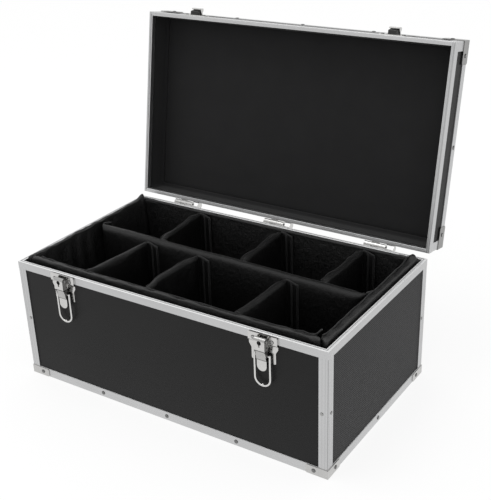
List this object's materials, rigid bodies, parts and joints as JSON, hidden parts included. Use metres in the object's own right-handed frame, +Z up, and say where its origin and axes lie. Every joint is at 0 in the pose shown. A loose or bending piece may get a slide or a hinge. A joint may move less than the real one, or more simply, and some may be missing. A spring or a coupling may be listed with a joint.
{
  "type": "record carrying case with a padded divided insert",
  "caption": "Black panelled carrying case with aluminium edges, hinged lid, draw latches with wire bails and a padded insert divided into compartments.",
  "frame": {"origin": "centre of the bottom board's underside, where the case stands on the floor", "axes": "+X to the right seen from the latch side, +Y to the hinges at the back, +Z up"},
  "size_m": [0.5264, 0.4147, 0.5021],
  "materials": {
    "laminate": "black textured laminate on board",
    "edging": "satin anodised extrusion",
    "plated_steel": "bright nickel plating",
    "wire": "nickel-plated wire",
    "lock": "dark plated",
    "insert": "black woven nylon over foam",
    "lining": "black felt over foam",
    "handle": "black moulded"
  },
  "bodies": {
    "base": {"front_panel": "laminate", "back_panel": "laminate", "left_panel": "laminate", "right_panel": "laminate", "bottom_panel": "laminate", "base_rim_front": "edging", "base_rim_back": "edging", "base_rim_left": "edging", "base_rim_right": "edging", "base_angle_front": "edging", "base_angle_back": "edging", "base_angle_left": "edging", "base_angle_right": "edging", "base_upright_angles": "edging", "base_brackets": "edging", "base_rivets": "plated_steel", "latch_plate_left": "plated_steel", "latch_plate_right": "plated_steel", "latch_pins": "plated_steel", "hinge_base_left": "plated_steel", "hinge_base_middle": "plated_steel", "hinge_base_right": "plated_steel", "hinge_pins": "plated_steel", "pad_front": "insert", "pad_back": "insert", "pad_left": "insert", "pad_right": "insert", "floor_pad": "insert", "long_divider": "insert", "front_divider_left": "insert", "front_divider_middle": "insert", "front_divider_right": "insert", "back_divider_left": "insert", "back_divider_middle": "insert", "back_divider_right": "insert"},
    "lid": {"hinge_lid_left": "plated_steel", "hinge_lid_middle": "plated_steel", "hinge_lid_right": "plated_steel", "lid_top_panel": "laminate", "lid_front_panel": "laminate", "lid_back_panel": "laminate", "lid_left_panel": "laminate", "lid_right_panel": "laminate", "lid_rim": "edging", "lid_top_angles": "edging", "lid_corner_angles": "edging", "lid_brackets": "edging", "lid_rivets": "plated_steel", "strike_left": "plated_steel", "strike_right": "plated_steel", "strike_blocks": "handle", "lid_lining": "lining", "handle_mounts": "plated_steel"},
    "handle": {"lid_handle": "handle"},
    "lever_left": {"latch_lever_left": "plated_steel"},
    "lever_right": {"latch_lever_right": "plated_steel"},
    "bail_left": {"latch_bail_left": "wire"},
    "bail_right": {"latch_bail_right": "wire"},
    "lock_left": {"lock_plug_left": "lock"},
    "lock_right": {"lock_plug_right": "lock"}
  },
  "joints": [
    {"name": "lid_hinge", "type": "hinge", "parent": "base", "child": "lid", "pos_m": [0, 0.154, 0.1934], "axis": [1, 0, 0], "range_deg": [0, 99.9]},
    {"name": "handle_swing", "type": "hinge", "parent": "lid", "child": "handle", "pos_m": [0, 0.23643, 0.33534], "axis": [1, 0, 0], "range_deg": [-9.9, 170.1]},
    {"name": "lever_left_lift", "type": "hinge", "parent": "base", "child": "lever_left", "pos_m": [-0.172, -0.156, 0.1856], "axis": [-1, 0, 0], "range_deg": [0, 95]},
    {"name": "lever_right_lift", "type": "hinge", "parent": "base", "child": "lever_right", "pos_m": [0.168, -0.156, 0.1856], "axis": [-1, 0, 0], "range_deg": [0, 95]},
    {"name": "bail_left_swing", "type": "hinge", "parent": "lever_left", "child": "bail_left", "pos_m": [-0.172, -0.153, 0.1631], "axis": [1, 0, 0], "range_deg": [-175, 3]},
    {"name": "bail_right_swing", "type": "hinge", "parent": "lever_right", "child": "bail_right", "pos_m": [0.168, -0.153, 0.1631], "axis": [1, 0, 0], "range_deg": [-175, 3]},
    {"name": "lock_left_turn", "type": "hinge", "parent": "lever_left", "child": "lock_left", "pos_m": [-0.172, -0.156, 0.1832], "axis": [0, 1, 0], "range_deg": [0, 90]},
    {"name": "lock_right_turn", "type": "hinge", "parent": "lever_right", "child": "lock_right", "pos_m": [0.168, -0.156, 0.1832], "axis": [0, 1, 0], "range_deg": [0, 90]}
  ]
}
